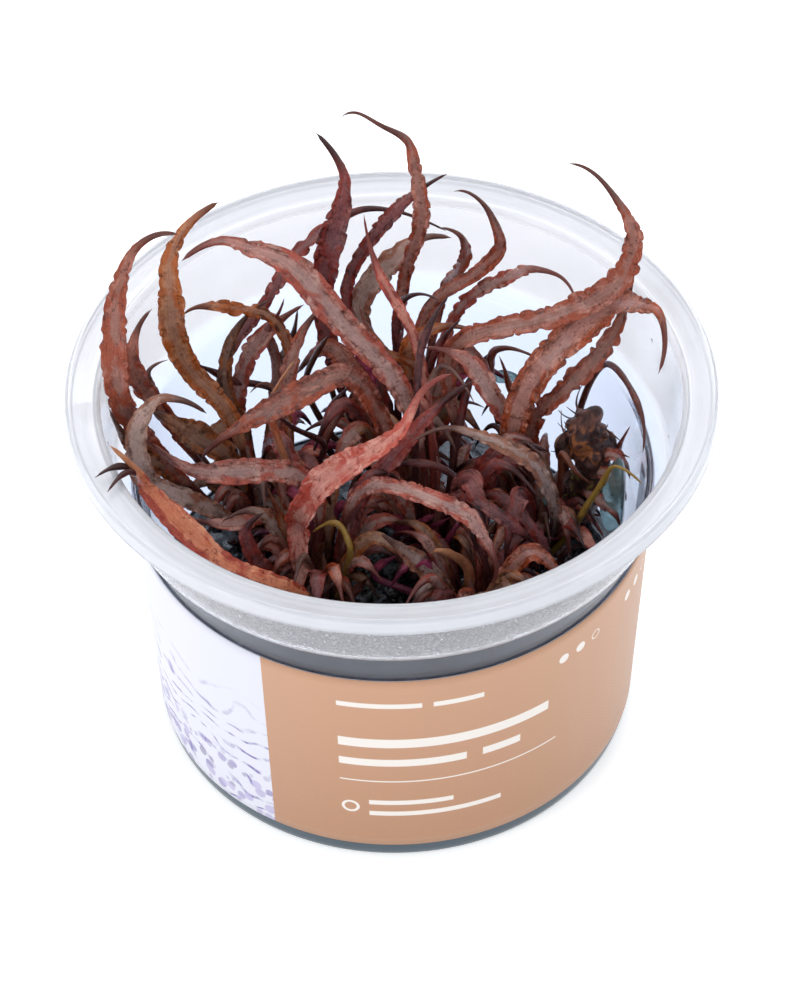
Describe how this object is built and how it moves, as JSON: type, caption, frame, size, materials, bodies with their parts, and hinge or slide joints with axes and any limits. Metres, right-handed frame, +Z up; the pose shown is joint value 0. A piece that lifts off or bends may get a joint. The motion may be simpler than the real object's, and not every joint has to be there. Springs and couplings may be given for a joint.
{
  "type": "potted aquarium plant in a tissue-culture cup",
  "caption": "Clear lipped culture cup with a wrapped label, dark nutrient gel and young red spiral-leaved cryptocoryne plants rising past the rim.",
  "frame": {"origin": "centre of the cup's base, on the surface it stands on", "axes": "+Z up along the cup's axis, -Y towards the viewer of the label's printed side, X across"},
  "size_m": [0.1004, 0.1004, 0.0981],
  "materials": {
    "cup": "clear moulded polypropylene, slightly milky at the rim",
    "label": "printed film, copper tan with a white panel, satin",
    "gel": "dark nutrient gel, wet and glossy",
    "crown": "wet brown stem base",
    "rhizome": "rotting brown rhizome, rough and damp",
    "leaf_amber": "orange brown leaf, wet, satin to glossy",
    "leaf_brown": "dark brown leaf, wet, satin to glossy",
    "leaf_grey": "grey brown leaf, wet, satin to glossy",
    "leaf_maroon": "dark maroon leaf, wet, satin to glossy",
    "leaf_mauve": "greyish mauve leaf, wet, satin to glossy",
    "leaf_pink": "pink red leaf, wet, satin to glossy",
    "leaf_rust": "red brown leaf, wet, satin to glossy",
    "leaf_salmon": "salmon orange leaf, wet, satin to glossy",
    "leaf_yellow": "pale yellow leaf, wet, satin to glossy"
  },
  "bodies": {
    "root": {"cup": "cup", "label": "label", "gel": "gel", "crown_front": "crown", "crown_corner": "crown", "crown_middle": "crown", "crown_right": "crown", "crown_left": "crown", "crown_back": "crown", "old_rhizome": "rhizome", "leaf_mauve_low": "leaf_mauve", "leaf_pale_stalk": "leaf_salmon", "leaf_orange_low": "leaf_amber", "leaf_front_pink": "leaf_pink", "leaf_dark_red": "leaf_maroon", "leaf_brown_arch": "leaf_brown", "leaf_yellow_stem": "leaf_yellow", "leaf_front_arch": "leaf_pink", "leaf_wall_salmon": "leaf_salmon", "leaf_front_curl": "leaf_maroon", "leaf_red_curl": "leaf_pink", "leaf_front_leaf": "leaf_brown", "leaf_red_stub": "leaf_maroon", "leaf_pink_stub": "leaf_pink", "leaf_long_arch": "leaf_mauve", "leaf_mauve_long": "leaf_mauve", "leaf_red_low": "leaf_maroon", "leaf_red_lower": "leaf_maroon", "leaf_pink_spire": "leaf_pink", "leaf_pink_fork": "leaf_maroon", "leaf_pink_twig": "leaf_maroon", "leaf_right_tall": "leaf_brown", "leaf_amber_stem": "leaf_amber", "leaf_dark_arch": "leaf_maroon", "leaf_grey_arch": "leaf_grey", "leaf_arch_pair": "leaf_brown", "leaf_grey_ruffle": "leaf_grey", "leaf_right_hook": "leaf_amber", "leaf_brown_ruffle": "leaf_rust", "leaf_wall_thin": "leaf_rust", "leaf_pale_hook": "leaf_yellow", "leaf_far_left": "leaf_rust", "leaf_left_tall": "leaf_amber", "leaf_back_ruffle": "leaf_rust", "leaf_back_arc": "leaf_maroon", "leaf_wall_small": "leaf_rust", "leaf_left_curl": "leaf_grey", "leaf_brown_blade": "leaf_brown", "leaf_low_left": "leaf_mauve", "leaf_mauve_back": "leaf_mauve", "leaf_orange_wisp": "leaf_amber", "leaf_tallest": "leaf_rust", "leaf_back_spear": "leaf_maroon", "leaf_back_tall": "leaf_maroon", "leaf_back_hook": "leaf_rust", "leaf_back_loop": "leaf_rust", "leaf_grey_broad": "leaf_grey", "leaf_back_right": "leaf_brown", "leaf_dark_back": "leaf_maroon"}
  },
  "joints": []
}
